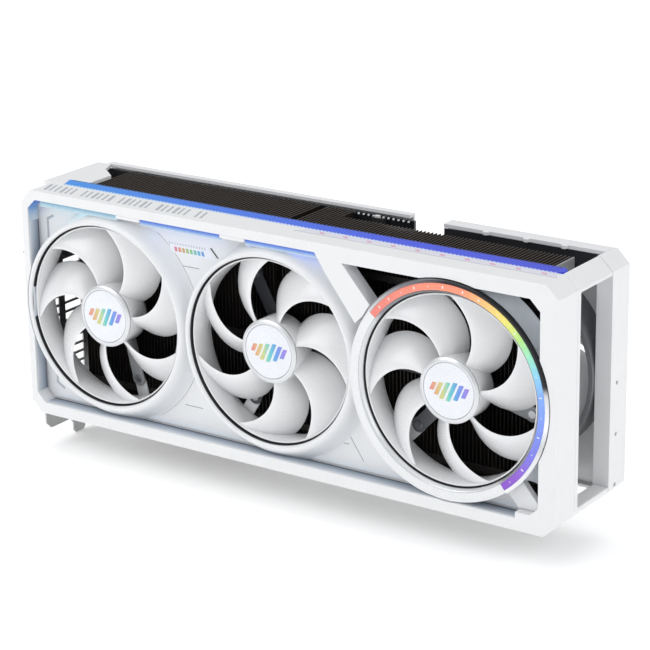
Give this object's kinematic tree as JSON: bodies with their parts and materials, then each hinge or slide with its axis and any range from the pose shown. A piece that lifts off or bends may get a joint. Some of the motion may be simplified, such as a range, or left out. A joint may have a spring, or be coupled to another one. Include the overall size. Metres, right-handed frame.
{
  "type": "graphics card",
  "caption": "White three-slot graphics card: shrouded front fans with swept blades, a lit ring on the right fan, a finned cooler, a backplate with a rear fan and a steel bracket.",
  "frame": {"origin": "middle of the slot contact edge's lowest line, at the circuit board's mid thickness", "axes": "+X along the card away from the bracket, -Y out of the front fans, +Z towards the power connector edge"},
  "size_m": [0.3664, 0.076, 0.1626],
  "materials": {
    "white_shell": "satin",
    "white_panel": "satin",
    "white_ring": "satin",
    "white_back": "satin",
    "ring_light": "lit, frosted",
    "dark_chrome": "mirror",
    "badge": "printed",
    "bar_light": "lit, frosted",
    "top_light": "lit, frosted",
    "dark_board": "solder mask",
    "gold": "polished",
    "silicon": "polished",
    "black_chip": "matte",
    "choke_metal": "matte",
    "can_metal": "satin",
    "black_plastic": "matte",
    "switch_white": "satin",
    "ivory_plastic": "satin",
    "port_steel": "satin",
    "pad_rubber": "matte",
    "plate_aluminium": "satin",
    "copper": "satin",
    "fin_metal": "dark satin",
    "end_plate_metal": "satin",
    "dark_plastic": "matte",
    "winding_copper": "enamelled",
    "bearing_brass": "machined",
    "screw_steel": "satin",
    "bracket_steel": "brushed",
    "white_rotor": "satin",
    "hub_cap_silver": "satin with a bright rim",
    "shaft_steel": "ground"
  },
  "bodies": {
    "card": {"front_frame": "white_shell", "top_left_cover": "white_shell", "right_end_cap": "white_shell", "rear_end_block": "white_shell", "light_bar_clips": "white_shell", "fan_shroud_panel": "white_panel", "right_ring_base": "white_ring", "backplate": "white_back", "rear_fan_cover": "white_back", "right_ring_light": "ring_light", "right_ring_trim": "dark_chrome", "shroud_badge": "badge", "front_light_bars": "bar_light", "top_light_diffuser": "top_light", "circuit_board": "dark_board", "top_light_board": "dark_board", "pcie_contacts": "gold", "power_pins": "gold", "gpu_package": "silicon", "memory_chips": "black_chip", "power_stages": "black_chip", "chokes": "choke_metal", "capacitors": "can_metal", "power_connector": "black_plastic", "bios_switch_body": "black_plastic", "fan_headers": "ivory_plastic", "hdmi_ports": "port_steel", "displayport_ports": "port_steel", "thermal_pads": "pad_rubber", "vrm_plates": "plate_aluminium", "vapor_chamber": "copper", "heat_pipes": "copper", "fin_stack_left": "fin_metal", "fin_stack_right": "fin_metal", "fin_end_plate": "end_plate_metal", "rear_fan_frame": "dark_plastic", "left_fan_base": "dark_plastic", "center_fan_base": "dark_plastic", "right_fan_base": "dark_plastic", "rear_fan_base": "dark_plastic", "fan_stators": "winding_copper", "fan_bearings": "bearing_brass", "fan_screws": "screw_steel", "bracket_screws": "screw_steel", "backplate_screws": "screw_steel", "io_bracket": "bracket_steel"},
    "left_rotor": {"left_fan_rotor": "white_rotor", "left_hub_cap": "hub_cap_silver", "left_fan_shaft": "shaft_steel"},
    "center_rotor": {"center_fan_rotor": "white_rotor", "center_hub_cap": "hub_cap_silver", "center_fan_shaft": "shaft_steel"},
    "right_rotor": {"right_fan_rotor": "white_rotor", "right_hub_cap": "hub_cap_silver", "right_fan_shaft": "shaft_steel"},
    "rear_rotor": {"rear_fan_rotor": "white_rotor", "rear_hub_cap": "hub_cap_silver", "rear_fan_shaft": "shaft_steel"},
    "switch_lever": {"bios_switch_slider": "switch_white"}
  },
  "joints": [
    {"name": "left_fan_spin", "type": "hinge", "parent": "card", "child": "left_rotor", "pos_m": [-0.0306, -0.058, 0.081], "axis": [0, -1, 0], "continuous": true},
    {"name": "center_fan_spin", "type": "hinge", "parent": "card", "child": "center_rotor", "pos_m": [0.0854, -0.058, 0.081], "axis": [0, 1, 0], "continuous": true},
    {"name": "right_fan_spin", "type": "hinge", "parent": "card", "child": "right_rotor", "pos_m": [0.2014, -0.058, 0.081], "axis": [0, -1, 0], "continuous": true},
    {"name": "rear_fan_spin", "type": "hinge", "parent": "card", "child": "rear_rotor", "pos_m": [0.2014, -0.0048, 0.081], "axis": [0, 1, 0], "continuous": true},
    {"name": "bios_switch_slide", "type": "slide", "parent": "card", "child": "switch_lever", "axis": [1, 0, 0], "range_m": [0, 0.002]}
  ]
}
